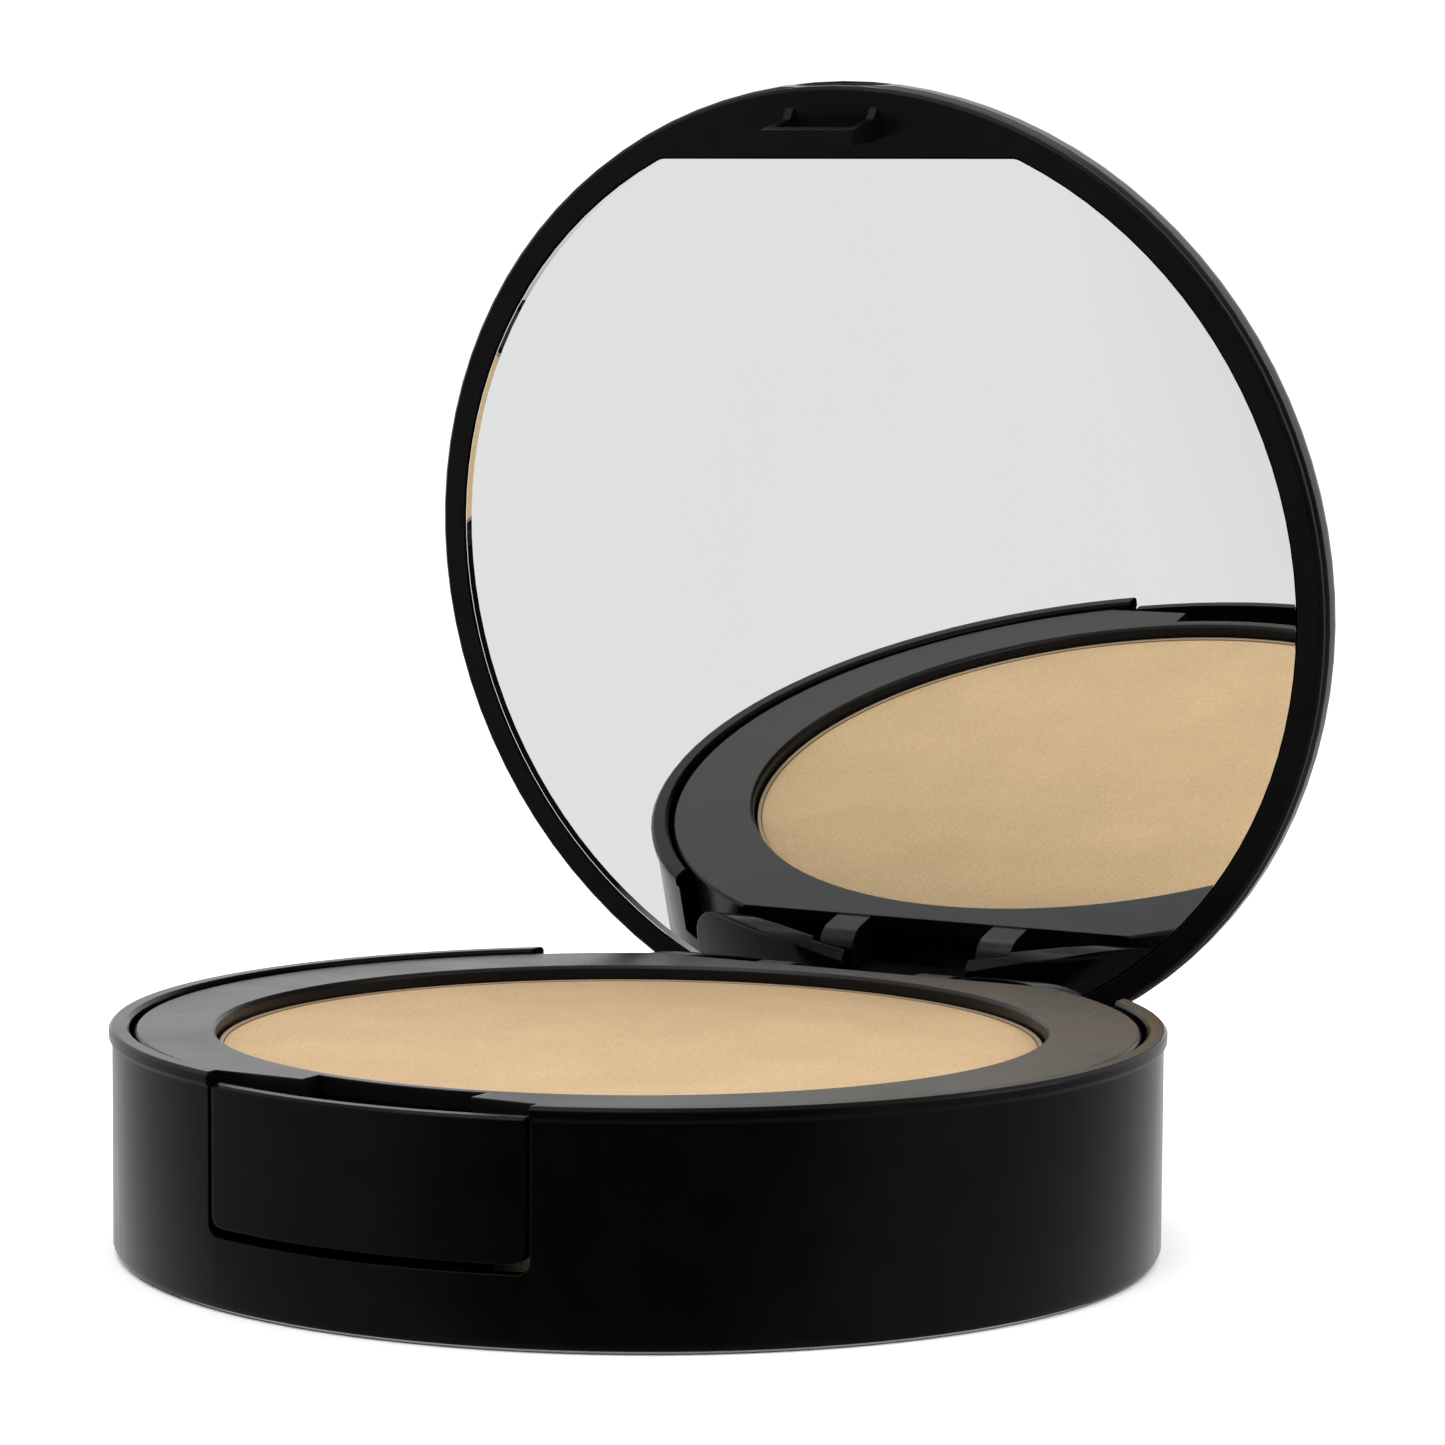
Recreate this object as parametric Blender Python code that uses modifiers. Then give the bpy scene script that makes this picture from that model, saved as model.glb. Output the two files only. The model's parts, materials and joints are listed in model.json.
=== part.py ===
"""Two-tier pressed powder compact, lid open: base, push button, powder tray, mirror lid."""
import math

import bmesh
import bpy
from mathutils import Matrix, Vector

MM = 0.001
STEPS = 96  # facets round a turned shape
WELD = 1e-6  # m, closes a turned shape on itself

# driving sizes, mm
BASE_R = 38.0
BASE_H = 16.6
WALL = 1.2
FLOOR = 1.2
RIM_BEAD = 0.25
LID_SEAT = 0.05  # gap between the base's rim and the shut lid
LID_OVER = 0.5  # the lid stands this far outside the base
LID_T = 3.5
LID_CROWN = 0.2
LID_OPEN_DEG = 81.0  # the lid's angle from closed, at rest
FIT = 0.3  # gap between pieces that move or drop in
BOND = 0.05  # gap between bonded pieces

# hinge
HINGE_SET_IN = 3.6  # from the base's outside to the pin
HINGE_DROP = 5.0  # from the base's top to the pin
PIN_R = 0.7
PIN_CLEAR = 0.08
KNUCKLE_R = 1.6
LID_KNUCKLE_HALF = 5.2
TRAY_KNUCKLE_W = 3.0
BASE_KNUCKLE_W = 2.6
HINGE_ZONE_HALF = 25.5
SWEEP_GAP = 0.5  # the rear wall stays this far inside the lid's sweep
LUG_GAP = 1.6  # from the lid's knuckle to each lug beside it
LUG_W = 5.4
LUG_UP = 0.3  # the lugs clear the rear wall by this

# powder tray
TRAY_DROP = 0.35  # tray top below the base's top
TRAY_GAP = 0.4
DECK_T = 1.3
SKIRT_W = 2.2
SKIRT_H = 3.3
WELL_R = 30.0
WELL_WALL = 0.9
WELL_FLOOR = 1.0
WELL_FORWARD = 1.0  # the well stands this far in front of the base's middle
TRAY_FRONT_SET_IN = 4.7  # from the base's outside to the tray's straight front edge
TRAY_REAR_GAP = 0.9  # from the lid's knuckle to the tray's straight rear edge
RECESS_HALF = 6.8
POWDER_DROP = 1.1  # powder surface below the tray top

# pan, powder, sponge
PAN_GAP = 0.2
PAN_WALL = 0.35
PAN_H = 3.3
PAN_RIM_UP = 0.05  # the pan's edge above the powder
GLUE_T = 0.1
GLUE_R = 22.0
SPONGE_GAP = 8.2  # from the base's wall to the sponge
SPONGE_T = 4.5

# push button
PANEL_HALF = 12.5
PANEL_T = 1.0
PANEL_GAP = 0.4
PANEL_GAP_LOW = 0.7
PANEL_LOW = 5.9
PANEL_DROP = 0.85  # panel top below the base's top
PANEL_CORNER = 0.9
TONGUE_HALF = 5.6
TONGUE_T = 1.2
TONGUE_LOW = 6.6
TRAVEL = 0.8
RAIL_T = 1.1
RAIL_H = 9.0
SPRING_T = 0.25
SPRING_GAP = 0.12

# lid hook
HOOK_HALF = 3.95
HOOK_RIB = 0.7
HOOK_L = 4.2
HOOK_BAR = 1.0
HOOK_SET_IN = 2.55  # from the lid's outside to the hook's outer face
HOOK_DEEP = 1.6
CATCH_T = 1.0
CATCH_HALF = 2.7
CATCH_BITE = 0.6

# mirror
MIRROR_RIM = 2.3  # from the lid's outside to the mirror
MIRROR_FLAT_IN = 5.7  # from the lid's outside to the mirror's straight sides
MIRROR_FILLET = 1.6
MIRROR_T = 1.1
MIRROR_DROP = 0.45  # mirror face behind the lid's rim
MIRROR_GAP = 0.15
LIP_T = 0.7  # the frame's lip over the shell's edge
SEAM = 0.1
NOTCH_HALF = 6.2
NOTCH_DEEP = 0.3

# derived places, mm
HINGE_Y = BASE_R - HINGE_SET_IN
HINGE_Z = BASE_H - HINGE_DROP
BASE_IN = BASE_R - WALL
RIM_TOP = BASE_H - LID_SEAT
LID_R = BASE_R + LID_OVER
MIRROR_R = LID_R - MIRROR_RIM
MIRROR_FLAT = LID_R - MIRROR_FLAT_IN
SPONGE_R = BASE_IN - SPONGE_GAP
TRAY_TOP = BASE_H - TRAY_DROP
TRAY_R = BASE_IN - TRAY_GAP
TRAY_FRONT_Y = -(BASE_R - TRAY_FRONT_SET_IN)
TRAY_REAR_Y = HINGE_Y - KNUCKLE_R - TRAY_REAR_GAP
RING_R = WELL_R + WELL_WALL
POWDER_TOP = TRAY_TOP - POWDER_DROP
PAN_TOP = POWDER_TOP + PAN_RIM_UP
PAN_LOW = PAN_TOP - PAN_H
PAN_R = WELL_R - PAN_GAP
WELL_TOP = PAN_LOW - GLUE_T - 2 * BOND
PANEL_TOP = BASE_H - PANEL_DROP
PANEL_IN = BASE_R - PANEL_T
HOOK_OUT_Y = -(LID_R - HOOK_SET_IN)
HOOK_IN_Y = HOOK_OUT_Y + HOOK_DEEP
HOOK_LOW = BASE_H - HOOK_L
POST_OUT_Y = HOOK_IN_Y + FIT
POST_IN_Y = POST_OUT_Y + CATCH_T
CATCH_LOW = HOOK_LOW + HOOK_BAR + FIT
RAIL_IN = TONGUE_HALF + FIT
STOP_Y = POST_IN_Y + TRAVEL + SPRING_T + 2 * SPRING_GAP
TRAY_KNUCKLE_X = LID_KNUCKLE_HALF + FIT
BASE_KNUCKLE_X = TRAY_KNUCKLE_X + TRAY_KNUCKLE_W + FIT
PIN_HALF = BASE_KNUCKLE_X + BASE_KNUCKLE_W - 0.9
SHELL_IN_R = LID_R - WALL
LID_TOP = BASE_H + LID_T
MIRROR_FACE = BASE_H + MIRROR_DROP
MIRROR_BACK = MIRROR_FACE + MIRROR_T
CEILING = MIRROR_BACK + GLUE_T + 2 * BOND
SWEEP_R = HINGE_DROP - SWEEP_GAP
LUG_IN_R = SWEEP_R + LUG_UP

COLOURS = {
    "black_gloss": ((0.012, 0.012, 0.013), 0.18, 0.0),
    "black_satin": ((0.014, 0.014, 0.015), 0.38, 0.0),
    "steel": ((0.60, 0.61, 0.62), 0.30, 1.0),
    "aluminium": ((0.78, 0.78, 0.79), 0.35, 1.0),
    "powder": ((0.62, 0.41, 0.25), 0.95, 0.0),
    "foam": ((0.86, 0.72, 0.60), 0.95, 0.0),
    "glue": ((0.70, 0.70, 0.66), 0.60, 0.0),
    "mirror": ((0.90, 0.92, 0.93), 0.03, 1.0),
}


def clear_scene():
    for o in list(bpy.data.objects):
        bpy.data.objects.remove(o, do_unlink=True)


def collection(name):
    c = bpy.data.collections.new(name)
    bpy.context.scene.collection.children.link(c)
    return c


def material(name):
    rgb, rough, metal = COLOURS[name]
    m = bpy.data.materials.get(name) or bpy.data.materials.new(name)
    m.use_nodes = True
    shader = m.node_tree.nodes["Principled BSDF"]
    shader.inputs["Base Color"].default_value = (*rgb, 1.0)
    shader.inputs["Roughness"].default_value = rough
    shader.inputs["Metallic"].default_value = metal
    return m


def put(name, mesh, where, parent=None):
    """A new object from a mesh in mm at the closed position, in metres, under its joint's empty."""
    mesh.transform(Matrix.Scale(MM, 4))
    o = bpy.data.objects.new(name, mesh)
    where.objects.link(o)
    if parent:
        o.parent = parent
        o.matrix_parent_inverse = Matrix.Translation(-parent.location)
    if where is CUTTERS:
        o.hide_render = True
        o.display_type = "WIRE"
    return o


def turned(name, profile, where, parent=None, forward=0.0):
    """A shape turned round Z. The profile's ends are both on the axis, or it closes on itself."""
    mesh = bpy.data.meshes.new(name)
    count = len(profile)
    edges = [(i, i + 1) for i in range(count - 1)]
    if profile[0][0] > 0:
        edges.append((count - 1, 0))
    mesh.from_pydata([(r, 0, z) for r, z in profile], edges, [])
    o = put(name, mesh, where, parent)
    o.location.y = -forward * MM
    screw = o.modifiers.new("turn", "SCREW")
    screw.axis = "Z"
    screw.steps = STEPS
    screw.render_steps = STEPS
    screw.use_merge_vertices = True
    screw.merge_threshold = WELD
    return o


def drum(r, low, high):
    return [(0, high), (r, high), (r, low), (0, low)]


def prism(name, outline, axis, low, high, where, parent=None):
    """An outline drawn across an axis, pulled along it from low to high."""
    place = {
        "x": lambda a, b, t: (t, a, b),
        "y": lambda a, b, t: (a, t, b),
        "z": lambda a, b, t: (a, b, t),
    }[axis]
    bm = bmesh.new()
    verts = [bm.verts.new(place(a, b, low)) for a, b in outline]
    face = bm.faces.new(verts)
    grown = bmesh.ops.extrude_face_region(bm, geom=[face])
    shift = Vector(place(0, 0, high - low))
    moved = [v for v in grown["geom"] if isinstance(v, bmesh.types.BMVert)]
    bmesh.ops.translate(bm, vec=shift, verts=moved)
    bmesh.ops.recalc_face_normals(bm, faces=bm.faces)
    mesh = bpy.data.meshes.new(name)
    bm.to_mesh(mesh)
    bm.free()
    return put(name, mesh, where, parent)


def box(name, low, high, where, parent=None):
    outline = [(low[0], low[1]), (high[0], low[1]), (high[0], high[1]), (low[0], high[1])]
    return prism(name, outline, "z", low[2], high[2], where, parent)


def arc(cx, cy, r, start, end, count):
    angles = [math.radians(start + (end - start) * i / count) for i in range(count + 1)]
    return [(cx + r * math.cos(a), cy + r * math.sin(a)) for a in angles]


def combine(target, tool, operation):
    b = target.modifiers.new(tool.name, "BOOLEAN")
    b.operation = operation
    b.solver = "EXACT"
    b.object = tool


def cut(target, *tools):
    for tool in tools:
        combine(target, tool, "DIFFERENCE")


def add(target, *tools):
    for tool in tools:
        combine(target, tool, "UNION")


def keep(target, tool):
    combine(target, tool, "INTERSECT")


def finish(o, slot, angle=35):
    """Weld nothing, colour the piece and shade it smooth up to its sharp edges."""
    o.data.materials.append(material(slot))
    for p in o.data.polygons:
        p.use_smooth = True
    o.data.set_sharp_from_angle(angle=math.radians(angle))
    return o


def joint_empty(name, at_mm, turn_deg=0.0):
    e = bpy.data.objects.new(name, None)
    PARTS.objects.link(e)
    e.location = Vector(at_mm) * MM
    e.rotation_euler.x = math.radians(-turn_deg)
    return e


def sides():
    return (("left", -1), ("right", 1))


def span(side, low, high):
    """An x range, mirrored for the left side."""
    return (low, high) if side > 0 else (-high, -low)


def bar(name, yz, side, low, high, where, parent=None):
    x0, x1 = span(side, low, high)
    return prism(name, yz, "x", x0, x1, where, parent)


def base_profile():
    foot = 0.8
    ease = 0.25
    bead_low = RIM_TOP - 1.05
    return [
        (0, FLOOR),
        (BASE_IN - 0.6, FLOOR),
        (BASE_IN, FLOOR + 0.6),
        (BASE_IN, RIM_TOP - ease),
        (BASE_IN + ease, RIM_TOP),
        (BASE_R + RIM_BEAD - ease, RIM_TOP),
        (BASE_R + RIM_BEAD, RIM_TOP - ease),
        (BASE_R + RIM_BEAD, bead_low + ease),
        (BASE_R, bead_low),
        (BASE_R, foot),
        (BASE_R - 0.25, 0.25),
        (BASE_R - foot, 0),
        (0, 0),
    ]


def panel_outline(grow, low_grow, top):
    """The button's front, seen from outside, with its two lower corners rounded."""
    half = PANEL_HALF + grow
    low = PANEL_LOW - low_grow
    r = PANEL_CORNER
    pts = arc(-half + r, low + r, r, 180, 270, 5)
    pts += arc(half - r, low + r, r, 270, 360, 5)
    pts += [(half, top), (-half, top)]
    return pts


def sweep_outline():
    """What the lid's flat rim sweeps behind the pin, in y and z."""
    pts = [(HINGE_Y - 9.0, HINGE_Z)]
    pts += arc(HINGE_Y, HINGE_Z, SWEEP_R, 180, 0, 24)
    pts += [(HINGE_Y + 9.0, HINGE_Z), (HINGE_Y + 9.0, BASE_H + 4), (HINGE_Y - 9.0, BASE_H + 4)]
    return pts


def knuckle_post(low):
    """A hinge ear standing on the floor, rounded over the pin, in y and z."""
    pts = [(HINGE_Y + KNUCKLE_R, low)]
    pts += arc(HINGE_Y, HINGE_Z, KNUCKLE_R, 0, 180, 12)
    pts += [(HINGE_Y - KNUCKLE_R, low)]
    return pts


def pin_hole(name, half, parent=None):
    return prism(name, arc(HINGE_Y, HINGE_Z, PIN_R + PIN_CLEAR, 0, 345, 23), "x",
                 -half, half, CUTTERS, parent)


def build_base():
    base = turned("base_shell", base_profile(), PARTS)
    relief_r = BASE_R - 0.8
    relief = turned("relief_disc", drum(relief_r, HINGE_Z - 4, BASE_H + 2), CUTTERS)
    relief_half = BASE_KNUCKLE_X
    keep(relief, box("relief_keep", (-relief_half, 20, HINGE_Z - 5),
                     (relief_half, 45, BASE_H + 3), CUTTERS))
    cut(base, relief)
    for label, side in sides():
        x1 = BASE_KNUCKLE_X + BASE_KNUCKLE_W
        add(base, bar(f"ear_{label}", knuckle_post(FLOOR / 2), side, BASE_KNUCKLE_X, x1, CUTTERS))
        rail = [(-BASE_IN - 0.4, FLOOR / 2), (STOP_Y + RAIL_T, FLOOR / 2),
                (STOP_Y + RAIL_T, RAIL_H), (-BASE_IN - 0.4, RAIL_H)]
        add(base, bar(f"rail_{label}", rail, side, RAIL_IN, RAIL_IN + RAIL_T, CUTTERS))
    stop_half = RAIL_IN + RAIL_T / 2
    add(base, box("spring_wall", (-stop_half, STOP_Y, FLOOR / 2),
                  (stop_half, STOP_Y + RAIL_T, RAIL_H), CUTTERS))
    for k, deg in enumerate((38, 142, 218, 322)):
        a = math.radians(deg)
        along = Vector((math.cos(a), math.sin(a)))
        across = Vector((-along.y, along.x))
        inner = TRAY_R - SKIRT_W + 0.6
        pts = [along * inner - across, along * (BASE_IN + 0.5) - across,
               along * (BASE_IN + 0.5) + across, along * inner + across]
        ledge = prism(f"ledge_{k}", [tuple(p) for p in pts], "z", FLOOR / 2,
                      TRAY_TOP - SKIRT_H - BOND, CUTTERS)
        add(base, ledge)
    wall_in_y = -math.sqrt(BASE_IN ** 2 - (PANEL_HALF + PANEL_GAP) ** 2)
    window = prism("window", panel_outline(PANEL_GAP, PANEL_GAP_LOW, BASE_H + 2), "y",
                   -BASE_R - 3, wall_in_y + 0.5, CUTTERS)
    sweep = prism("lid_sweep", sweep_outline(), "x", -HINGE_ZONE_HALF, HINGE_ZONE_HALF, CUTTERS)
    slot_half = LID_KNUCKLE_HALF + FIT
    slot = box("knuckle_slot", (-slot_half, HINGE_Y + KNUCKLE_R, HINGE_Z - KNUCKLE_R - 1.9),
               (slot_half, BASE_R + 2, BASE_H + 3), CUTTERS)
    cut(base, window, sweep, slot, pin_hole("base_pin_hole", PIN_HALF + 0.2))
    return finish(base, "black_gloss")


def build_button():
    empty = joint_empty("button_axis", (0, -BASE_R, (PANEL_LOW + PANEL_TOP) / 2))
    ease = 0.2
    ring = [
        (PANEL_IN, PANEL_TOP),
        (BASE_R - ease, PANEL_TOP),
        (BASE_R, PANEL_TOP - ease),
        (BASE_R, PANEL_LOW - 2),
        (PANEL_IN, PANEL_LOW - 2),
    ]
    button = turned("push_button", ring, PARTS, empty)
    front = prism("panel_keep", panel_outline(0, 0, PANEL_TOP + 1), "y",
                  -BASE_R - 2, -BASE_R + 8, CUTTERS, empty)
    keep(button, front)
    root = -PANEL_IN - 0.4
    tongue = box("tongue", (-TONGUE_HALF, root, TONGUE_LOW),
                 (TONGUE_HALF, POST_IN_Y, TONGUE_LOW + TONGUE_T), CUTTERS, empty)
    catch = [
        (POST_IN_Y, TONGUE_LOW + 0.2),
        (POST_IN_Y, CATCH_LOW + CATCH_T + 0.1),
        (POST_OUT_Y - 0.2, CATCH_LOW + CATCH_T + 0.1),
        (HOOK_IN_Y - CATCH_BITE, CATCH_LOW + 0.45),
        (HOOK_IN_Y - CATCH_BITE, CATCH_LOW),
        (POST_OUT_Y, CATCH_LOW),
        (POST_OUT_Y, TONGUE_LOW + 0.2),
    ]
    add(button, tongue, prism("catch", catch, "x", -CATCH_HALF, CATCH_HALF, CUTTERS, empty))
    return finish(button, "black_gloss")


def build_spring():
    """A bowed leaf between the button's tongue and the wall behind it."""
    low = TONGUE_LOW + 0.1
    reach = TONGUE_HALF - 0.6
    y0 = POST_IN_Y + SPRING_GAP
    bow = TRAVEL - 0.1
    front = []
    back = []
    count = 14
    for i in range(count + 1):
        t = 2 * i / count - 1
        y = y0 + bow * t * t
        front.append((reach * t, y))
        back.append((reach * t, y + SPRING_T))
    spring = prism("button_spring", front + back[::-1], "z", low, low + 1.0, PARTS)
    return finish(spring, "steel")


def tray_arm():
    """A tray hinge ear, rounded over the top, in y and z."""
    top = TRAY_TOP - 0.1
    roll = 2.0
    pts = [(TRAY_REAR_Y - 1.0, top), (HINGE_Y - 0.6, top)]
    pts += arc(HINGE_Y - 0.6, top - roll, roll, 80, 0, 7)
    pts += arc(HINGE_Y, HINGE_Z, KNUCKLE_R, 0, -150, 12)
    pts += [(TRAY_REAR_Y + 0.2, HINGE_Z + 1.2), (TRAY_REAR_Y - 1.0, top - DECK_T)]
    return pts


def build_tray():
    ease = 0.2
    lead = 0.25
    inner = TRAY_R - SKIRT_W
    low = TRAY_TOP - SKIRT_H
    profile = [
        (0, TRAY_TOP),
        (TRAY_R - ease, TRAY_TOP),
        (TRAY_R, TRAY_TOP - ease),
        (TRAY_R, low),
        (inner, low),
        (inner, TRAY_TOP - DECK_T),
        (0, TRAY_TOP - DECK_T),
    ]
    tray = turned("powder_tray", profile, PARTS)
    high = TRAY_TOP + 2
    well = turned("well", drum(RING_R, WELL_TOP - WELL_FLOOR, TRAY_TOP - DECK_T / 2), CUTTERS,
                  forward=WELL_FORWARD)
    hollow = turned("well_hollow", [
        (0, high),
        (WELL_R + lead + 1, high),
        (WELL_R + lead + 1, TRAY_TOP + 1),
        (WELL_R, TRAY_TOP - lead),
        (WELL_R, WELL_TOP),
        (0, WELL_TOP),
    ], CUTTERS, forward=WELL_FORWARD)
    add(tray, well)
    reach = math.sqrt((TRAY_R - 1.0) ** 2 - TRAY_FRONT_Y ** 2)
    for label, side in sides():
        x0, x1 = span(side, RECESS_HALF - 1, reach)
        add(tray, box(f"tray_face_{label}", (x0, TRAY_FRONT_Y - 1.5, low + 0.8),
                      (x1, TRAY_FRONT_Y + 1.0, TRAY_TOP - 0.5), CUTTERS))
    front = box("tray_front_cut", (-30, -45, low - 1), (30, TRAY_FRONT_Y, high), CUTTERS)
    rear = box("tray_rear_cut", (-30, TRAY_REAR_Y, low - 1), (30, 45, high), CUTTERS)
    recess = box("hook_recess", (-RECESS_HALF, TRAY_FRONT_Y - 2, low - 1.5),
                 (RECESS_HALF, -24, high + 0.5), CUTTERS)
    cut(recess, turned("recess_ring", drum(RING_R + 0.1, low - 2, high + 1), CUTTERS,
                       forward=WELL_FORWARD))
    cut(tray, hollow, front, rear)
    for label, side in sides():
        add(tray, bar(f"tray_arm_{label}", tray_arm(), side, TRAY_KNUCKLE_X,
                      TRAY_KNUCKLE_X + TRAY_KNUCKLE_W, CUTTERS))
    cut(tray, pin_hole("tray_pin_hole", PIN_HALF + 3), recess)
    return finish(tray, "black_gloss")


def build_fill():
    pan = turned("powder_pan", [
        (0, PAN_LOW + PAN_WALL),
        (PAN_R - PAN_WALL, PAN_LOW + PAN_WALL),
        (PAN_R - PAN_WALL, PAN_TOP - 0.05),
        (PAN_R - PAN_WALL + 0.08, PAN_TOP),
        (PAN_R - 0.08, PAN_TOP),
        (PAN_R, PAN_TOP - 0.1),
        (PAN_R, PAN_LOW + 0.4),
        (PAN_R - 0.4, PAN_LOW),
        (0, PAN_LOW),
    ], PARTS, forward=WELL_FORWARD)
    finish(pan, "aluminium")
    powder_r = PAN_R - PAN_WALL - BOND
    powder = turned("pressed_powder", [
        (0, POWDER_TOP),
        (powder_r - 0.3, POWDER_TOP),
        (powder_r, POWDER_TOP - 0.12),
        (powder_r, PAN_LOW + PAN_WALL + BOND),
        (0, PAN_LOW + PAN_WALL + BOND),
    ], PARTS, forward=WELL_FORWARD)
    finish(powder, "powder")
    glue = turned("pan_adhesive", [
        (0, WELL_TOP + BOND + GLUE_T),
        (GLUE_R, WELL_TOP + BOND + GLUE_T),
        (GLUE_R, WELL_TOP + BOND),
        (0, WELL_TOP + BOND),
    ], PARTS, forward=WELL_FORWARD)
    finish(glue, "glue")
    low = FLOOR + BOND
    sponge = turned("sponge", [
        (0, low + SPONGE_T),
        (SPONGE_R - 0.5, low + SPONGE_T),
        (SPONGE_R, low + SPONGE_T - 0.5),
        (SPONGE_R, low + 0.5),
        (SPONGE_R - 0.5, low),
        (0, low),
    ], PARTS)
    finish(sponge, "foam")


def build_pin():
    pin = prism("hinge_pin", arc(HINGE_Y, HINGE_Z, PIN_R, 0, 345, 23), "x",
                -PIN_HALF, PIN_HALF, PARTS)
    return finish(pin, "steel")


def mirror_outline(grow):
    """A disc with two straight sides, front and back, and eased corners."""
    r = MIRROR_R + grow
    flat = MIRROR_FLAT + grow
    f = MIRROR_FILLET
    cy = flat - f
    cx = math.sqrt((r - f) ** 2 - cy ** 2)
    turn = math.degrees(math.atan2(cy, cx))
    quarter = []
    for i in range(21):
        a = math.radians(turn * i / 20)
        quarter.append((r * math.cos(a), r * math.sin(a)))
    quarter += arc(cx, cy, f, turn, 90, 5)[1:]
    half = quarter + [(-x, y) for x, y in reversed(quarter)]
    lower = [(x, -y) for x, y in reversed(half[1:-1])]
    return half + lower


def hook_outline():
    """The lid hook from the side, in y and z, its root run up into the rim."""
    return [
        (HOOK_OUT_Y - 0.8, BASE_H + 0.3),
        (HOOK_OUT_Y - 0.8, BASE_H),
        (HOOK_OUT_Y, BASE_H - 0.7),
        (HOOK_OUT_Y + 0.3, HOOK_LOW),
        (HOOK_IN_Y, HOOK_LOW),
        (HOOK_IN_Y, BASE_H + 0.3),
    ]


def build_lid(hinge):
    ease = 0.25
    roll = 1.5
    top = LID_TOP - LID_CROWN
    shell_profile = [
        (0, CEILING),
        (SHELL_IN_R - 0.3, CEILING),
        (SHELL_IN_R, CEILING - 0.3),
        (SHELL_IN_R, BASE_H + LIP_T + SEAM),
        (LID_R - ease, BASE_H + LIP_T + SEAM),
        (LID_R, BASE_H + LIP_T + SEAM + ease),
    ]
    shell_profile += arc(LID_R - roll, top - roll, roll, 0, 78, 7)
    shell_profile += [(LID_R * 0.75, top + LID_CROWN * 0.45), (LID_R * 0.4, LID_TOP - 0.03)]
    shell_profile += [(0, LID_TOP)]
    shell = turned("lid_shell", shell_profile[::-1], PARTS, hinge)
    cut(shell, box("thumb_notch", (-NOTCH_HALF, -LID_R - 2, BASE_H - 1),
                   (NOTCH_HALF, -LID_R + NOTCH_DEEP, BASE_H + LID_T * 0.62), CUTTERS, hinge))
    finish(shell, "black_gloss")

    lip_r = LID_R - 0.15
    body_r = SHELL_IN_R - BOND * 2
    back = CEILING - BOND
    frame = turned("lid_frame", [
        (0, back),
        (body_r - 0.35, back),
        (body_r, back - 0.35),
        (body_r, BASE_H + LIP_T),
        (lip_r - 0.1, BASE_H + LIP_T),
        (lip_r, BASE_H + LIP_T - 0.1),
        (lip_r, BASE_H + ease),
        (lip_r - ease, BASE_H),
        (0, BASE_H),
    ], PARTS, hinge)
    cut(frame, prism("mirror_opening", mirror_outline(MIRROR_GAP), "z", BASE_H - 3, BASE_H + 8,
                     CUTTERS, hinge))
    hook = prism("hook", hook_outline(), "x", -HOOK_HALF, HOOK_HALF, CUTTERS, hinge)
    window_half = HOOK_HALF - HOOK_RIB
    cut(hook, box("hook_window", (-window_half, HOOK_OUT_Y - 3, HOOK_LOW + HOOK_BAR),
                  (window_half, HOOK_IN_Y + 1, BASE_H + 0.1), CUTTERS, hinge))
    add(frame, hook)
    for label, side in sides():
        lug = turned(f"lug_{label}", [
            (BASE_IN + 0.1, BASE_H + 0.3), (BASE_R, BASE_H + 0.3), (BASE_R, HINGE_Z),
            (BASE_IN + 0.1, HINGE_Z)], CUTTERS, hinge)
        x0, x1 = span(side, LID_KNUCKLE_HALF + LUG_GAP, LID_KNUCKLE_HALF + LUG_GAP + LUG_W)
        keep(lug, box(f"lug_keep_{label}", (x0, 20, HINGE_Z - 1), (x1, 45, BASE_H + 1),
                      CUTTERS, hinge))
        cut(lug, prism(f"lug_round_{label}", arc(HINGE_Y, HINGE_Z, LUG_IN_R, 0, 354, 59),
                       "x", -20, 20, CUTTERS, hinge))
        add(frame, lug)
    arm = arc(HINGE_Y, HINGE_Z, KNUCKLE_R, 180, 360, 14)
    arm += [(HINGE_Y + KNUCKLE_R, BASE_H + 0.3), (HINGE_Y - KNUCKLE_R, BASE_H + 0.3)]
    add(frame, prism("lid_arm", arm, "x", -LID_KNUCKLE_HALF, LID_KNUCKLE_HALF, CUTTERS, hinge))
    cut(frame, pin_hole("lid_pin_hole", LID_KNUCKLE_HALF + 2, hinge))
    finish(frame, "black_satin")

    mirror = prism("mirror_glass", mirror_outline(0), "z", MIRROR_FACE, MIRROR_BACK, PARTS, hinge)
    finish(mirror, "mirror")
    pad = prism("mirror_adhesive", mirror_outline(-3.0), "z", MIRROR_BACK + BOND,
                MIRROR_BACK + BOND + GLUE_T, PARTS, hinge)
    finish(pad, "glue")


clear_scene()
PARTS = collection("powder_compact")
CUTTERS = collection("cutters")
build_base()
build_button()
build_spring()
build_tray()
build_fill()
build_pin()
build_lid(joint_empty("lid_axis", (0, HINGE_Y, HINGE_Z), LID_OPEN_DEG))
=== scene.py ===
"""Looks for the powder compact: plastics, mirror, pressed powder, foam, studio and camera."""

import json
import math

import bmesh
import bpy
from mathutils import Matrix, Vector, noise


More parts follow.
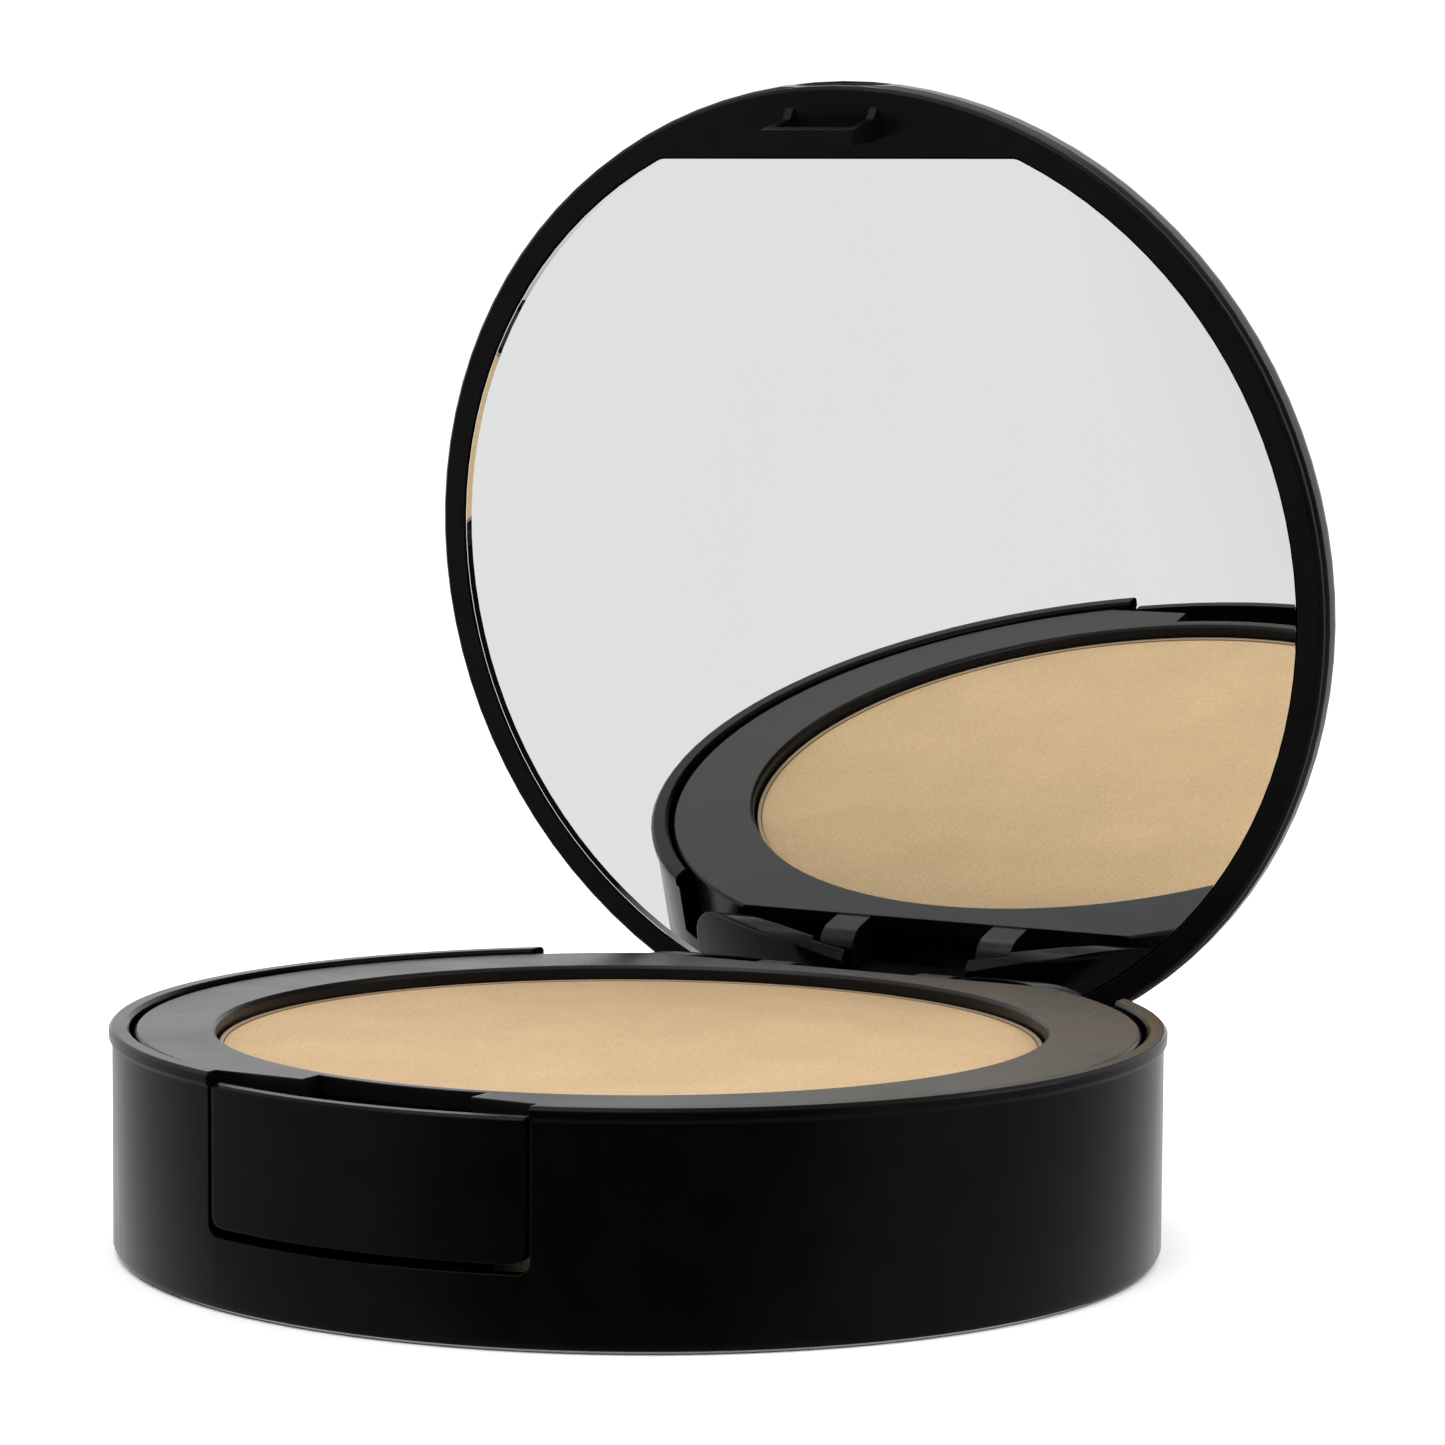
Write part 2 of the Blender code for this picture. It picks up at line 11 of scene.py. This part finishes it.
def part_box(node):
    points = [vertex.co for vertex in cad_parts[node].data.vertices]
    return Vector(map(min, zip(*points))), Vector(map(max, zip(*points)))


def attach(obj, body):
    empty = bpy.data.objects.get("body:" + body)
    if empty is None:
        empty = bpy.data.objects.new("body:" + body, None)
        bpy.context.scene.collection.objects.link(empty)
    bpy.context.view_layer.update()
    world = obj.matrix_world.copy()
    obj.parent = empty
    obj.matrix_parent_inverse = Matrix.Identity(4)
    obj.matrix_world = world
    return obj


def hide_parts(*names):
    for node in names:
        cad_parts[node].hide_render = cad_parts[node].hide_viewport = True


MM = 0.001
SAME_PLACE = 1e-6  # vertices nearer than this are one
SHARP_DEG = 32.0  # facets meeting at a sharper angle keep their edge

# camera
CAMERA_AT = Vector((0.196746, -0.333570, 0.076757))
CAMERA_YAW = 31.075  # degrees to the left of +Y
CAMERA_PITCH = 5.933  # degrees down
CAMERA_ROLL = 0.212  # degrees
CAMERA_NEAR = 0.01
FOCAL_SHARE = 3.7336  # focal length as a share of the image's width
SENSOR = 36.0
SHIFT_X = 0.0929
SHIFT_Y = 0.0158

# studio: white all round but for a dark side at the front right
WORLD = 1.06  # brightness of the white
DARK_TOWARDS = Vector((0.50, -0.86, -0.05)).normalized()
DARK_IN = 30.0  # degrees from the dark side's middle up to which it is darkest
DARK_OUT = 58.0  # degrees at which it is white again
DARKEST = 0.004
BELOW = 0.80  # what polished faces see below the horizon
BELOW_FROM = -0.12  # height of a direction at which that shade is full
BELOW_TO = -0.02  # height at which it has gone

# lamps and floor
LAMPS_AIM = (0, 0, 0.02)
LAMPS = (  # name, place, width and height, watts
    ("key", (-0.1, -0.3, 0.65), (0.5, 0.5), 2.4),
    ("fill", (0.55, 0.3, 0.35), (0.4, 0.5), 3),
)
OVERHEAD = 0.9
OVERHEAD_SPREAD = 120  # degrees
FLOOR_HALF = 3.0

# finishes
NOISE_LOW = 0.3  # a noise texture stays mostly between these two
NOISE_HIGH = 0.7
PLASTIC_EDGE = 0.16 * MM  # moulded edges are eased by this radius
BEVEL_SAMPLES = 6
CASE_IOR = 1.14  # low, which keeps the blacks deep
TRAY_IOR = 1.22
LID_IOR = 1.32
FINE_RELIEF = 0.01 * MM
DUST = (0.20, 0.14, 0.085)
DUST_DEEP = 0.5 * MM  # how far down the pan's edge the powder clings
DUST_FADE = 0.1 * MM

# mirror edge
LID_OPEN = math.radians(81.0)  # the lid's angle from shut, at rest
FACE_ON = 0.99  # how squarely a facet of the glass has to look forward
GLASS_EDGE_UP = 0.38 * MM
GLASS_EDGE_T = 0.05 * MM
GLASS_EDGE_SIDE = 1.0  # the band's wall grows outwards

# sponge
SPONGE_RINGS = 18
SPONGE_SPOKES = 96
SPONGE_CROWN = 0.35 * MM
SPONGE_ROLL = 1.2 * MM  # width of the rolled rim
SPONGE_RIM = 0.35  # thickness left at the very rim, as a share
SPONGE_DENT = 0.12 * MM
SPONGE_DENT_SCALE = 400


def add_object(name, data):
    piece = bpy.data.objects.new(name, data)
    bpy.context.scene.collection.objects.link(piece)
    return piece


def smooth(mesh):
    for p in mesh.polygons:
        p.use_smooth = True


def split_sharp(piece):
    split = piece.modifiers.new("split", "EDGE_SPLIT")
    split.split_angle = math.radians(SHARP_DEG)


def new_material(name):
    m = bpy.data.materials.new(name)
    m.use_nodes = True
    tree = m.node_tree
    shader = tree.nodes["Principled BSDF"]
    return m, tree, shader


def node(tree, kind, **values):
    """A new node, each value put in the input of its name, or else in its setting."""
    n = tree.nodes.new(kind)
    for key, value in values.items():
        if key in n.inputs:
            n.inputs[key].default_value = value
        else:
            setattr(n, key, value)
    return n


def position(tree):
    """Object coordinates in metres."""
    return node(tree, "ShaderNodeTexCoord").outputs["Object"]


def noise_at(tree, scale, detail=2.0, rough=0.5, stretch=None):
    n = node(tree, "ShaderNodeTexNoise", Scale=scale, Detail=detail, Roughness=rough)
    where = position(tree)
    if stretch:
        mapping = node(tree, "ShaderNodeMapping", Scale=stretch)
        tree.links.new(where, mapping.inputs["Vector"])
        where = mapping.outputs["Vector"]
    tree.links.new(where, n.inputs["Vector"])
    return n.outputs["Fac"]


def remap(tree, value, low, high, to_low, to_high):
    r = node(tree, "ShaderNodeMapRange")
    r.inputs["From Min"].default_value = low
    r.inputs["From Max"].default_value = high
    r.inputs["To Min"].default_value = to_low
    r.inputs["To Max"].default_value = to_high
    tree.links.new(value, r.inputs["Value"])
    return r.outputs["Result"]


def spread(tree, value, to_low, to_high):
    """A noise's usual range, remapped."""
    return remap(tree, value, NOISE_LOW, NOISE_HIGH, to_low, to_high)


def colour_sockets(sockets):
    return [s for s in sockets if s.type == "RGBA"]


def blend_colours(tree, factor, first, second):
    mix = node(tree, "ShaderNodeMix", data_type="RGBA")
    colour_a, colour_b = colour_sockets(mix.inputs)
    colour_a.default_value = (*first, 1)
    colour_b.default_value = (*second, 1)
    tree.links.new(factor, mix.inputs["Factor"])
    return colour_sockets(mix.outputs)[0]


def grey(tree, value):
    """One value in all three channels."""
    paint = node(tree, "ShaderNodeCombineColor")
    for channel in ("Red", "Green", "Blue"):
        tree.links.new(value, paint.inputs[channel])
    return paint.outputs["Color"]


def bump(tree, shader, height, strength, distance, edge=0.0):
    """Relief from a height, over edges rounded by a radius where one is given."""
    b = node(tree, "ShaderNodeBump", Strength=strength, Distance=distance)
    tree.links.new(height, b.inputs["Height"])
    if edge:
        rounded = node(tree, "ShaderNodeBevel", Radius=edge, samples=BEVEL_SAMPLES)
        tree.links.new(rounded.outputs["Normal"], b.inputs["Normal"])
    tree.links.new(b.outputs["Normal"], shader.inputs["Normal"])


def plastic(name, colour, worn, rough, grain, ior):
    """Moulded black plastic: a faint flow mottle, fine grain and uneven gloss."""
    m, tree, shader = new_material(name)
    mottle = noise_at(tree, scale=240, detail=3.0)
    tint = blend_colours(tree, spread(tree, mottle, 0, 1), colour, worn)
    tree.links.new(tint, shader.inputs["Base Color"])
    smear = noise_at(tree, scale=90, detail=4.0, rough=0.6)
    gloss = spread(tree, smear, rough * 0.85, rough * 1.2)
    tree.links.new(gloss, shader.inputs["Roughness"])
    fine = noise_at(tree, scale=9000, detail=2.0)
    bump(tree, shader, fine, strength=grain, distance=FINE_RELIEF, edge=PLASTIC_EDGE)
    shader.inputs["IOR"].default_value = ior
    return m


def metal(name, colour, rough, stretch):
    """Bare metal with drawing marks along the directions that stretch makes long."""
    m, tree, shader = new_material(name)
    drawn = noise_at(tree, scale=4000, detail=3.0, rough=0.6, stretch=stretch)
    tint = blend_colours(tree, drawn, [c * 0.85 for c in colour], colour)
    tree.links.new(tint, shader.inputs["Base Color"])
    tree.links.new(spread(tree, drawn, rough * 0.8, rough * 1.3), shader.inputs["Roughness"])
    shader.inputs["Metallic"].default_value = 1.0
    bump(tree, shader, drawn, strength=0.2, distance=FINE_RELIEF)
    return m


def dusted(material, above):
    """Powder left on a metal's top edge, from a height up."""
    tree = material.node_tree
    shader = tree.nodes["Principled BSDF"]
    split = node(tree, "ShaderNodeSeparateXYZ")
    tree.links.new(position(tree), split.inputs["Vector"])
    share = remap(tree, split.outputs["Z"], above, above + DUST_FADE, 0, 1)
    clean = shader.inputs["Base Color"].links[0].from_socket
    mix = node(tree, "ShaderNodeMix", data_type="RGBA")
    colours = colour_sockets(mix.inputs)
    tree.links.new(share, mix.inputs["Factor"])
    tree.links.new(clean, colours[0])
    colours[1].default_value = (*DUST, 1)
    tree.links.new(colour_sockets(mix.outputs)[0], shader.inputs["Base Color"])
    tree.links.new(remap(tree, share, 0, 1, 1, 0), shader.inputs["Metallic"])
    return material


def powder():
    """Pressed powder: pigment grains over soft blotches."""
    m, tree, shader = new_material("beige_powder")
    blotch = noise_at(tree, scale=110, detail=4.0, rough=0.6)
    grains = noise_at(tree, scale=5200, detail=2.0, rough=0.7)
    base = blend_colours(tree, spread(tree, blotch, 0, 1), (0.398, 0.275, 0.153),
                         (0.445, 0.309, 0.175))
    fine = node(tree, "ShaderNodeMix", data_type="RGBA", blend_type="MULTIPLY")
    fine.inputs["Factor"].default_value = 1.0
    colours = colour_sockets(fine.inputs)
    shade = remap(tree, grains, low=0.25, high=0.75, to_low=0.78, to_high=1.20)
    tree.links.new(base, colours[0])
    tree.links.new(grey(tree, shade), colours[1])
    tree.links.new(colour_sockets(fine.outputs)[0], shader.inputs["Base Color"])
    shader.inputs["Roughness"].default_value = 0.9
    shader.inputs["Specular IOR Level"].default_value = 0.2
    bump(tree, shader, grains, strength=0.5, distance=0.05 * MM)
    return m


def foam():
    """Fine latex foam: close pores in a warm pale skin, the pores darkened with painted shade."""
    m, tree, shader = new_material("foam")
    pores = node(tree, "ShaderNodeTexVoronoi", Scale=2600)
    tree.links.new(position(tree), pores.inputs["Vector"])
    pore_height_and_shade = remap(tree, pores.outputs["Distance"], low=0.1, high=0.6, to_low=0, to_high=1)
    # painted shade: the pore centres take the darker colour, just where the bump sinks them
    tint = blend_colours(tree, pore_height_and_shade, (0.62, 0.45, 0.33), (0.82, 0.66, 0.53))
    tree.links.new(tint, shader.inputs["Base Color"])
    shader.inputs["Roughness"].default_value = 0.95
    shader.inputs["Sheen Weight"].default_value = 0.15
    bump(tree, shader, pore_height_and_shade, strength=0.6, distance=0.1 * MM)
    return m


def glue():
    """Dried adhesive with faint strands."""
    m, tree, shader = new_material("adhesive")
    strands = noise_at(tree, scale=1500, detail=4.0, rough=0.7)
    tint = blend_colours(tree, strands, (0.55, 0.55, 0.50), (0.75, 0.75, 0.71))
    tree.links.new(tint, shader.inputs["Base Color"])
    shader.inputs["Roughness"].default_value = 0.6
    bump(tree, shader, strands, strength=0.3, distance=0.03 * MM)
    return m


def mirror():
    """Silvered glass with a trace of haze and wipe marks."""
    m, tree, shader = new_material("mirror")
    wipe = noise_at(tree, scale=60, detail=4.0, rough=0.6, stretch=(1.0, 0.35, 0.35))
    tint = blend_colours(tree, wipe, (0.86, 0.88, 0.87), (0.88, 0.90, 0.89))
    tree.links.new(tint, shader.inputs["Base Color"])
    haze = remap(tree, wipe, low=0.35, high=0.75, to_low=0.0, to_high=0.012)
    tree.links.new(haze, shader.inputs["Roughness"])
    shader.inputs["Metallic"].default_value = 1.0
    return m


def slot_finishes():
    """The finish of each material slot."""
    return {
        "black_gloss": plastic(
            "black_gloss", colour=(0.0010, 0.0010, 0.0012), worn=(0.0018, 0.0018, 0.0020),
            rough=0.18, grain=0.15, ior=CASE_IOR),
        "black_satin": plastic(
            "black_satin", colour=(0.0022, 0.0022, 0.0025), worn=(0.0032, 0.0032, 0.0035),
            rough=0.28, grain=0.25, ior=CASE_IOR),
        "spring_steel": metal(
            "spring_steel", colour=(0.60, 0.61, 0.62), rough=0.30, stretch=(0.1, 1.0, 1.0)),
        "pan_aluminium": dusted(
            metal("pan_aluminium", colour=(0.78, 0.78, 0.79), rough=0.35, stretch=(1.0, 1.0, 0.1)),
            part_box("powder_pan")[1][2] - DUST_DEEP),
        "beige_powder": powder(),
        "adhesive": glue(),
        "foam": foam(),
        "mirror": mirror(),
    }


def own_finishes():
    """The nodes whose plastic isn't quite their slot's."""
    return {
        "powder_tray": plastic(
            "tray_satin", colour=(0.0030, 0.0030, 0.0034), worn=(0.0048, 0.0048, 0.0052),
            rough=0.25, grain=0.3, ior=TRAY_IOR),
        "lid_shell": plastic(
            "lid_gloss", colour=(0.0022, 0.0022, 0.0025), worn=(0.0034, 0.0034, 0.0037),
            rough=0.2, grain=0.15, ior=LID_IOR),
    }


def dress(frame, materials, own):
    """Each CAD node's material, with its facets shaded smooth up to its sharp edges."""
    for part in frame["record"]["subparts"]:
        piece = frame["nodes"][part["node"]]
        chosen = own.get(part["node"], materials[part["material_slot"]])
        for s in piece.material_slots:
            s.material = chosen
        smooth(piece.data)
        weld = piece.modifiers.new("weld", "WELD")
        weld.merge_threshold = SAME_PLACE
        split_sharp(piece)


def sponge_height(r, radius, thick):
    """Half the foam's thickness at a radius: crowned, and rolled over at the rim."""
    inside = radius - r
    roll = 1.0
    if inside < SPONGE_ROLL:
        t = 1 - max(inside, 0) / SPONGE_ROLL
        roll = math.sqrt(max(1 - t * t, 0))
    crown = SPONGE_CROWN * (r / radius) ** 2
    return (thick / 2 - crown) * (SPONGE_RIM + (1 - SPONGE_RIM) * roll)


def sponge_skin(bm, centre, radius, thick, side):
    """The puff's upper (1) or lower (-1) skin; gives back its outermost ring."""
    rings = []
    for i in range(1, SPONGE_RINGS + 1):
        r = radius * math.sin(math.pi / 2 * i / SPONGE_RINGS)
        ring = []
        for k in range(SPONGE_SPOKES):
            a = 2 * math.pi * k / SPONGE_SPOKES
            spot = Vector((r * math.cos(a), r * math.sin(a), side))
            dent = SPONGE_DENT * noise.noise(spot * SPONGE_DENT_SCALE)
            z = side * (sponge_height(r, radius, thick) - abs(dent))
            ring.append(bm.verts.new(centre + Vector((spot.x, spot.y, z))))
        rings.append(ring)
    middle = bm.verts.new(centre + Vector((0, 0, side * thick / 2)))
    for k in range(SPONGE_SPOKES):
        bm.faces.new((middle, rings[0][k], rings[0][k - 1]))
    for inner, outer in zip(rings, rings[1:]):
        for k in range(SPONGE_SPOKES):
            bm.faces.new((inner[k - 1], inner[k], outer[k], outer[k - 1]))
    return rings[-1]


def build_sponge(material):
    """A round foam puff, slightly crowned, with a rolled rim and a soft uneven skin."""
    low, high = (Vector(v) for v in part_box("sponge"))
    centre = (low + high) / 2
    radius = (high.x - low.x) / 2
    thick = high.z - low.z
    bm = bmesh.new()
    upper = sponge_skin(bm, centre, radius, thick, 1)
    lower = sponge_skin(bm, centre, radius, thick, -1)
    for k in range(SPONGE_SPOKES):
        bm.faces.new((upper[k - 1], upper[k], lower[k], lower[k - 1]))
    bmesh.ops.recalc_face_normals(bm, faces=bm.faces)
    mesh = bpy.data.meshes.new("foam_puff")
    bm.to_mesh(mesh)
    bm.free()
    smooth(mesh)
    piece = add_object("foam_puff", mesh)
    piece.data.materials.append(material)
    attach(piece, "base")
    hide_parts("sponge")


def build_glass_edge(glass, material):
    """The mirror's polished edge: a thin band on its rim, a little short of the frame's face."""
    bm = bmesh.new()
    bm.from_mesh(glass.data)
    bm.transform(glass.matrix_world)
    bmesh.ops.remove_doubles(bm, verts=bm.verts, dist=SAME_PLACE)
    facing = Vector((0, -math.sin(LID_OPEN), -math.cos(LID_OPEN)))
    bm.normal_update()
    others = [f for f in bm.faces if f.normal.dot(facing) < FACE_ON]
    bmesh.ops.delete(bm, geom=others, context="FACES")
    face = list(bm.faces)
    rim = [e for e in bm.edges if len(e.link_faces) == 1]
    grown = bmesh.ops.extrude_edge_only(bm, edges=rim)
    moved = [v for v in grown["geom"] if isinstance(v, bmesh.types.BMVert)]
    bmesh.ops.translate(bm, vec=facing * GLASS_EDGE_UP, verts=moved)
    bmesh.ops.delete(bm, geom=face, context="FACES")
    mesh = bpy.data.meshes.new("glass_edge")
    bm.to_mesh(mesh)
    bm.free()
    smooth(mesh)
    piece = add_object("glass_edge", mesh)
    piece.data.materials.append(material)
    wall = piece.modifiers.new("wall", "SOLIDIFY")
    wall.thickness = GLASS_EDGE_T
    wall.offset = GLASS_EDGE_SIDE
    split_sharp(piece)
    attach(piece, "lid")


def build_floor():
    """A plain sheet of pale paper, which polished faces don't see."""
    mesh = bpy.data.meshes.new("floor")
    corners = [(x * FLOOR_HALF, y * FLOOR_HALF, 0)
               for x, y in ((-1, -1), (1, -1), (1, 1), (-1, 1))]
    mesh.from_pydata(corners, [], [(0, 1, 2, 3)])
    floor = add_object("floor", mesh)
    m, tree, shader = new_material("floor_paper")
    fibre = noise_at(tree, scale=300, detail=3.0)
    tint = blend_colours(tree, fibre, (0.93, 0.93, 0.93), (0.95, 0.95, 0.95))
    tree.links.new(tint, shader.inputs["Base Color"])
    shader.inputs["Roughness"].default_value = 0.9
    floor.data.materials.append(m)
    floor.visible_glossy = False


def build_light(name, at, size, power):
    """A soft box aimed at the compact."""
    data = bpy.data.lights.new(name, "AREA")
    data.shape = "RECTANGLE"
    data.size, data.size_y = size
    data.energy = power
    lamp = add_object(name, data)
    lamp.location = at
    lamp.rotation_euler = (Vector(LAMPS_AIM) - Vector(at)).to_track_quat("-Z", "Y").to_euler()


def build_overhead():
    """Very soft light from straight above."""
    data = bpy.data.lights.new("overhead", "SUN")
    data.energy = OVERHEAD
    data.angle = math.radians(OVERHEAD_SPREAD)
    add_object("overhead", data)


def build_world():
    """White all round, with the dark side and the shade below the horizon."""
    world = bpy.data.worlds.new("studio")
    bpy.context.scene.world = world
    world.use_nodes = True
    tree = world.node_tree
    background = tree.nodes["Background"]
    around = node(tree, "ShaderNodeTexCoord").outputs["Generated"]
    look = node(tree, "ShaderNodeVectorMath", operation="DOT_PRODUCT")
    tree.links.new(around, look.inputs[0])
    look.inputs[1].default_value = DARK_TOWARDS
    shade = remap(tree, look.outputs["Value"], math.cos(math.radians(DARK_OUT)),
                  math.cos(math.radians(DARK_IN)), 1.0, DARKEST)
    split = node(tree, "ShaderNodeSeparateXYZ")
    tree.links.new(around, split.inputs["Vector"])
    dim = remap(tree, split.outputs["Z"], BELOW_FROM, BELOW_TO, BELOW, 1.0)
    both = node(tree, "ShaderNodeMath", operation="MULTIPLY")
    tree.links.new(shade, both.inputs[0])
    tree.links.new(dim, both.inputs[1])
    tree.links.new(grey(tree, both.outputs["Value"]), background.inputs["Color"])
    background.inputs["Strength"].default_value = WORLD


def build_studio():
    build_world()
    for name, at, size, power in LAMPS:
        build_light(name, at, size, power)
    build_overhead()
    bpy.context.scene.view_settings.view_transform = "Standard"


def build_camera():
    yaw = math.radians(CAMERA_YAW)
    pitch = math.radians(CAMERA_PITCH)
    forward = Vector((-math.sin(yaw) * math.cos(pitch), math.cos(yaw) * math.cos(pitch),
                      -math.sin(pitch)))
    data = bpy.data.cameras.new("camera")
    data.sensor_width = SENSOR
    data.lens = FOCAL_SHARE * SENSOR
    data.shift_x = SHIFT_X
    data.shift_y = SHIFT_Y
    data.clip_start = CAMERA_NEAR
    camera = add_object("camera", data)
    turn = forward.to_track_quat("-Z", "Y").to_matrix().to_4x4()
    roll = Matrix.Rotation(math.radians(CAMERA_ROLL), 4, "Z")
    camera.matrix_world = Matrix.Translation(CAMERA_AT) @ turn @ roll
    bpy.context.scene.camera = camera


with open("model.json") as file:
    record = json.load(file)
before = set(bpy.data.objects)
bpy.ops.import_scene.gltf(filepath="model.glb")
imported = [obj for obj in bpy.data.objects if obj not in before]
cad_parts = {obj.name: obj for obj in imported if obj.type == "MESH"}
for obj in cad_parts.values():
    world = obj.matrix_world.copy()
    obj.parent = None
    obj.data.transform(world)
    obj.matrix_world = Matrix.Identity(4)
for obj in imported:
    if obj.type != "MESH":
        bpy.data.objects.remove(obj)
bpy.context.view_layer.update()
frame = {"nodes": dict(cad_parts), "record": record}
finishes = slot_finishes()
dress(frame, finishes, own_finishes())
build_sponge(finishes["foam"])
build_glass_edge(frame["nodes"]["mirror_glass"], finishes["mirror"])
build_floor()
build_studio()
build_camera()
